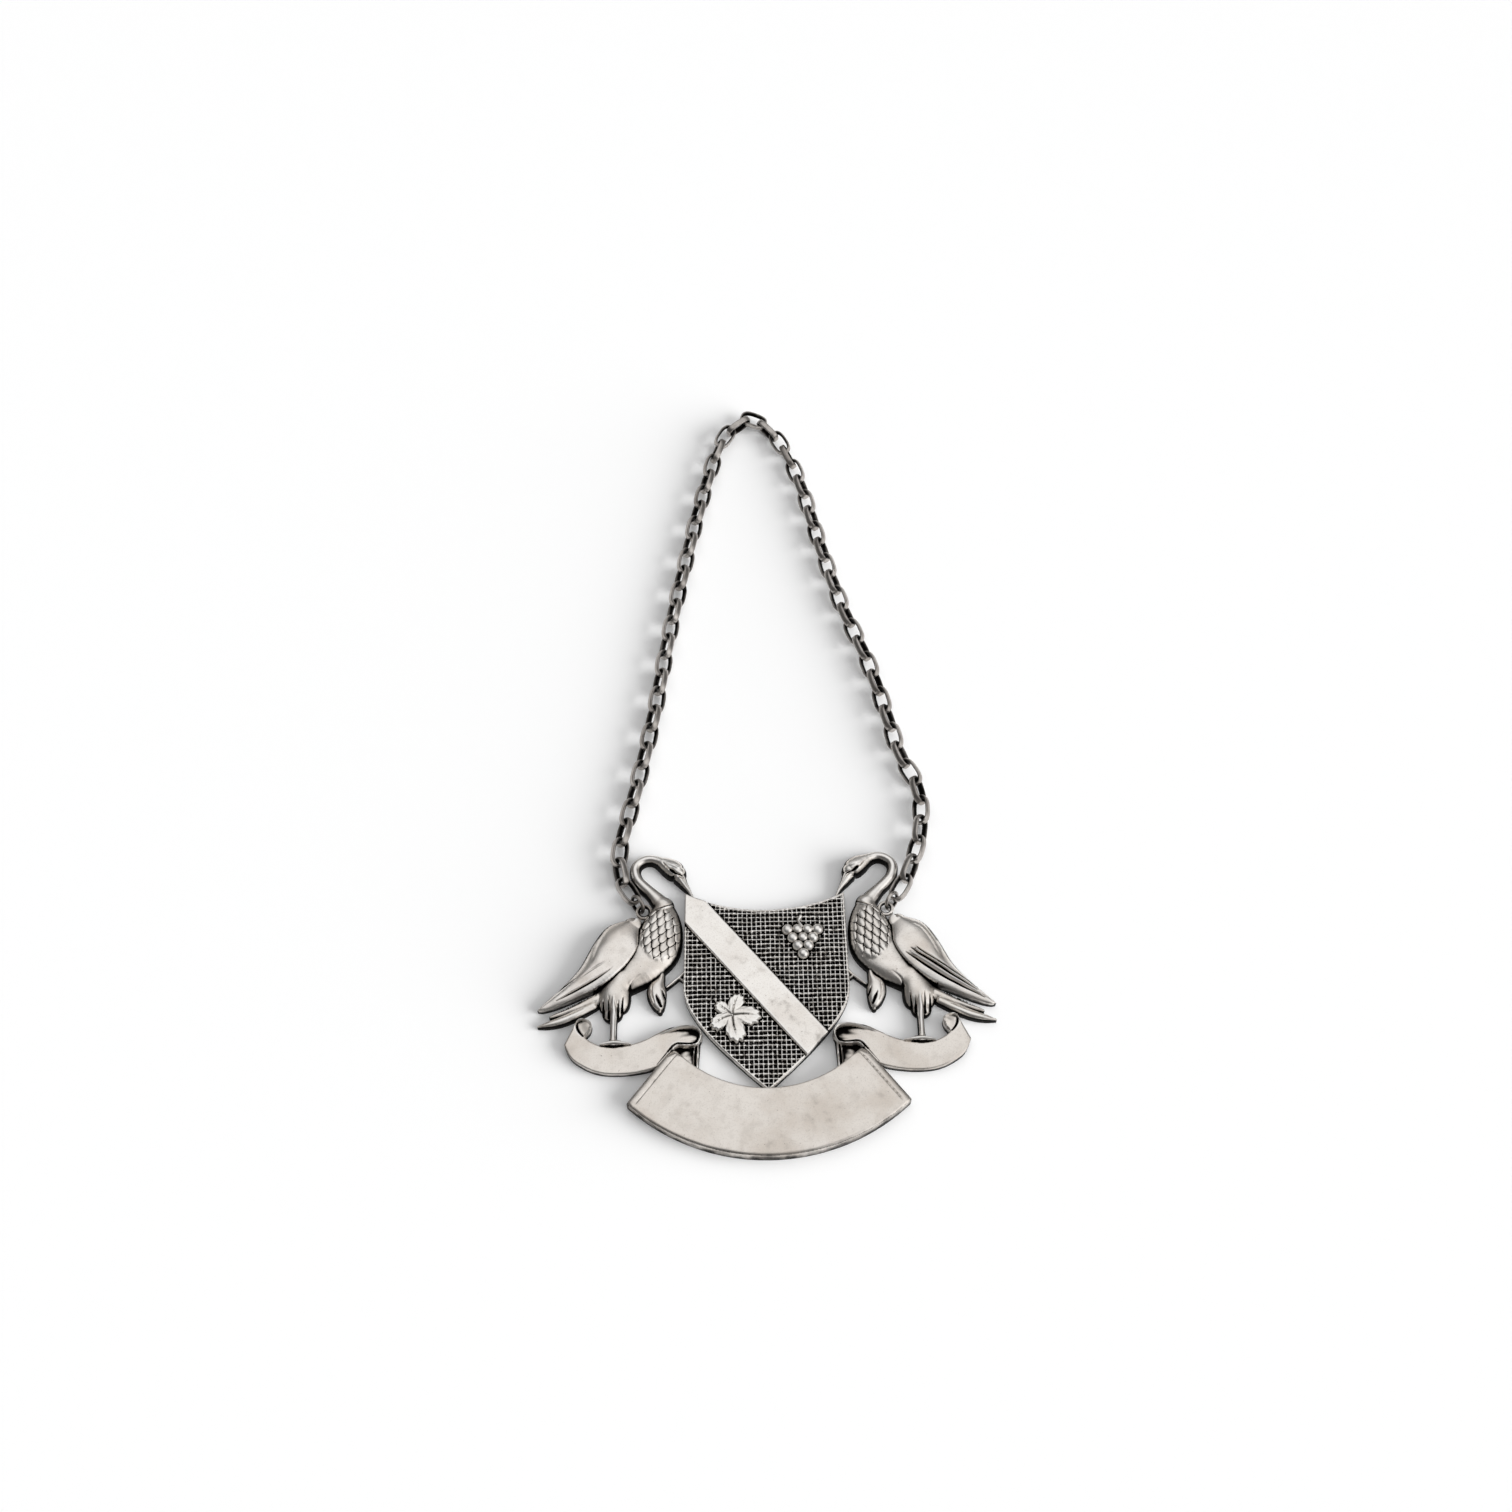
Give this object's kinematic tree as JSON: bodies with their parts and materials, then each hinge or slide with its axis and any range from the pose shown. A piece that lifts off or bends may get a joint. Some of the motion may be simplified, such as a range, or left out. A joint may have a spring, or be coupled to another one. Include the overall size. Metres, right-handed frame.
{
  "type": "silver wine label",
  "caption": "Openwork silver wine label: a hatched shield held up by two swans on scrolls above a bare curved title banner, hung on a chain of oval links.",
  "frame": {"origin": "middle of the shield, on the flat back of the label", "axes": "+X to the right as seen from the front, +Y up towards the chain, +Z out of the front"},
  "size_m": [0.0612, 0.124, 0.0031],
  "materials": {
    "cast_silver": "cast silver, polished and worn on the raised parts, dark with tarnish in the recesses",
    "chain_silver": "drawn silver wire, polished outside, dull with tarnish inside the links"
  },
  "bodies": {
    "label": {"shield": "cast_silver", "title_banner": "cast_silver", "left_scroll": "cast_silver", "right_scroll": "cast_silver", "left_swan": "cast_silver", "right_swan": "cast_silver", "left_eyelet": "cast_silver", "right_eyelet": "cast_silver"},
    "jump_rings": {"left_jump_ring": "chain_silver", "right_jump_ring": "chain_silver"},
    "row_01": {"links_row_01": "chain_silver"},
    "row_02": {"links_row_02": "chain_silver"},
    "row_03": {"links_row_03": "chain_silver"},
    "row_04": {"links_row_04": "chain_silver"},
    "row_05": {"links_row_05": "chain_silver"},
    "row_06": {"links_row_06": "chain_silver"},
    "row_07": {"links_row_07": "chain_silver"},
    "row_08": {"links_row_08": "chain_silver"},
    "row_09": {"links_row_09": "chain_silver"},
    "row_10": {"links_row_10": "chain_silver"},
    "row_11": {"links_row_11": "chain_silver"},
    "row_12": {"links_row_12": "chain_silver"},
    "row_13": {"links_row_13": "chain_silver"},
    "row_14": {"links_row_14": "chain_silver"},
    "row_15": {"links_row_15": "chain_silver"},
    "row_16": {"links_row_16": "chain_silver"},
    "row_17": {"links_row_17": "chain_silver"},
    "row_18": {"links_row_18": "chain_silver"},
    "row_19": {"links_row_19": "chain_silver"},
    "row_20": {"links_row_20": "chain_silver"},
    "row_21": {"links_row_21": "chain_silver"},
    "row_22": {"links_row_22": "chain_silver"},
    "row_23": {"links_row_23": "chain_silver"},
    "row_24": {"links_row_24": "chain_silver"},
    "row_25": {"links_row_25": "chain_silver"},
    "row_26": {"links_row_26": "chain_silver"},
    "row_27": {"links_row_27": "chain_silver"},
    "row_28": {"links_row_28": "chain_silver"},
    "top_link": {"top_link": "chain_silver"}
  },
  "joints": [
    {"name": "ring_swing", "type": "hinge", "parent": "label", "child": "jump_rings", "pos_m": [0.00001, 0.0122, 0.0013], "axis": [1, -0.0003, 0], "range_deg": [-30, 60]},
    {"name": "row_01_swing", "type": "hinge", "parent": "jump_rings", "child": "row_01", "pos_m": [0.00002, 0.01316, 0.0013], "axis": [-1, 0.0008, 0], "range_deg": [-40, 40]},
    {"name": "row_02_swing", "type": "hinge", "parent": "row_01", "child": "row_02", "pos_m": [-0.00004, 0.01634, 0.0013], "axis": [1, -0.0017, 0], "range_deg": [-20, 20]},
    {"name": "row_03_swing", "type": "hinge", "parent": "row_02", "child": "row_03", "pos_m": [0.0003, 0.01924, 0.0013], "axis": [-1, 0.0036, 0], "range_deg": [-15, 15]},
    {"name": "row_04_swing", "type": "hinge", "parent": "row_03", "child": "row_04", "pos_m": [0.00095, 0.02243, 0.0013], "axis": [1, -0.0029, 0], "range_deg": [-20, 20]},
    {"name": "row_05_swing", "type": "hinge", "parent": "row_04", "child": "row_05", "pos_m": [0.00156, 0.02547, 0.0013], "axis": [-1, 0.0048, 0], "range_deg": [-20, 20]},
    {"name": "row_06_swing", "type": "hinge", "parent": "row_05", "child": "row_06", "pos_m": [0.002, 0.02867, 0.0013], "axis": [1, -0.0051, 0], "range_deg": [-20, 20]},
    {"name": "row_07_swing", "type": "hinge", "parent": "row_06", "child": "row_07", "pos_m": [0.00209, 0.03172, 0.0013], "axis": [-1, 0.007, 0], "range_deg": [-15, 15]},
    {"name": "row_08_swing", "type": "hinge", "parent": "row_07", "child": "row_08", "pos_m": [0.00163, 0.03486, 0.0013], "axis": [1, -0.0067, 0], "range_deg": [-20, 20]},
    {"name": "row_09_swing", "type": "hinge", "parent": "row_08", "child": "row_09", "pos_m": [0.0015, 0.03786, 0.0013], "axis": [-0.9999, 0.0147, 0], "range_deg": [-20, 20]},
    {"name": "row_10_swing", "type": "hinge", "parent": "row_09", "child": "row_10", "pos_m": [0.00149, 0.041, 0.0013], "axis": [0.9999, -0.0153, 0], "range_deg": [-20, 20]},
    {"name": "row_11_swing", "type": "hinge", "parent": "row_10", "child": "row_11", "pos_m": [0.00141, 0.04412, 0.0013], "axis": [-0.9998, 0.0182, 0], "range_deg": [-20, 20]},
    {"name": "row_12_swing", "type": "hinge", "parent": "row_11", "child": "row_12", "pos_m": [0.00127, 0.0473, 0.0013], "axis": [0.9998, -0.0175, 0], "range_deg": [-20, 20]},
    {"name": "row_13_swing", "type": "hinge", "parent": "row_12", "child": "row_13", "pos_m": [0.00114, 0.05035, 0.0013], "axis": [-0.9997, 0.0261, 0], "range_deg": [-20, 20]},
    {"name": "row_14_swing", "type": "hinge", "parent": "row_13", "child": "row_14", "pos_m": [0.00091, 0.05354, 0.0013], "axis": [0.9997, -0.0256, 0], "range_deg": [-20, 20]},
    {"name": "row_15_swing", "type": "hinge", "parent": "row_14", "child": "row_15", "pos_m": [0.00065, 0.05664, 0.0013], "axis": [-0.9995, 0.0315, 0], "range_deg": [-20, 20]},
    {"name": "row_16_swing", "type": "hinge", "parent": "row_15", "child": "row_16", "pos_m": [0.00036, 0.05974, 0.0013], "axis": [0.9993, -0.0372, 0], "range_deg": [-20, 20]},
    {"name": "row_17_swing", "type": "hinge", "parent": "row_16", "child": "row_17", "pos_m": [0.00014, 0.06282, 0.0013], "axis": [-0.999, 0.0457, 0], "range_deg": [-20, 20]},
    {"name": "row_18_swing", "type": "hinge", "parent": "row_17", "child": "row_18", "pos_m": [-0.00001, 0.06593, 0.0013], "axis": [0.9987, -0.0512, 0], "range_deg": [-20, 20]},
    {"name": "row_19_swing", "type": "hinge", "parent": "row_18", "child": "row_19", "pos_m": [-0.00012, 0.06889, 0.0013], "axis": [-0.9988, 0.0497, 0], "range_deg": [-20, 20]},
    {"name": "row_20_swing", "type": "hinge", "parent": "row_19", "child": "row_20", "pos_m": [-0.00017, 0.07218, 0.0013], "axis": [0.9981, -0.0611, 0], "range_deg": [-20, 20]},
    {"name": "row_21_swing", "type": "hinge", "parent": "row_20", "child": "row_21", "pos_m": [-0.00022, 0.07519, 0.0013], "axis": [-0.998, 0.0638, 0], "range_deg": [-20, 20]},
    {"name": "row_22_swing", "type": "hinge", "parent": "row_21", "child": "row_22", "pos_m": [-0.00026, 0.07851, 0.0013], "axis": [0.9979, -0.0642, 0], "range_deg": [-20, 20]},
    {"name": "row_23_swing", "type": "hinge", "parent": "row_22", "child": "row_23", "pos_m": [-0.00022, 0.08154, 0.0013], "axis": [-0.9968, 0.0801, 0], "range_deg": [-20, 20]},
    {"name": "row_24_swing", "type": "hinge", "parent": "row_23", "child": "row_24", "pos_m": [-0.00021, 0.08469, 0.0013], "axis": [0.9965, -0.0833, 0], "range_deg": [-20, 20]},
    {"name": "row_25_swing", "type": "hinge", "parent": "row_24", "child": "row_25", "pos_m": [-0.0002, 0.0877, 0.0013], "axis": [-0.9945, 0.1051, 0], "range_deg": [-25, 25]},
    {"name": "row_26_swing", "type": "hinge", "parent": "row_25", "child": "row_26", "pos_m": [-0.00034, 0.09098, 0.0013], "axis": [0.9958, -0.0917, 0], "range_deg": [-20, 20]},
    {"name": "row_27_swing", "type": "hinge", "parent": "row_26", "child": "row_27", "pos_m": [-0.00039, 0.09372, 0.0013], "axis": [-0.9906, 0.1371, 0], "range_deg": [-25, 25]},
    {"name": "row_28_swing", "type": "hinge", "parent": "row_27", "child": "row_28", "pos_m": [-0.00033, 0.09665, 0.0013], "axis": [0.9824, -0.1866, 0], "range_deg": [-20, 20]},
    {"name": "top_link_swing", "type": "hinge", "parent": "row_28", "child": "top_link", "pos_m": [-0.00041, 0.09844, 0.0013], "axis": [-0.9716, 0.2368, 0], "range_deg": [-20, 20]}
  ]
}
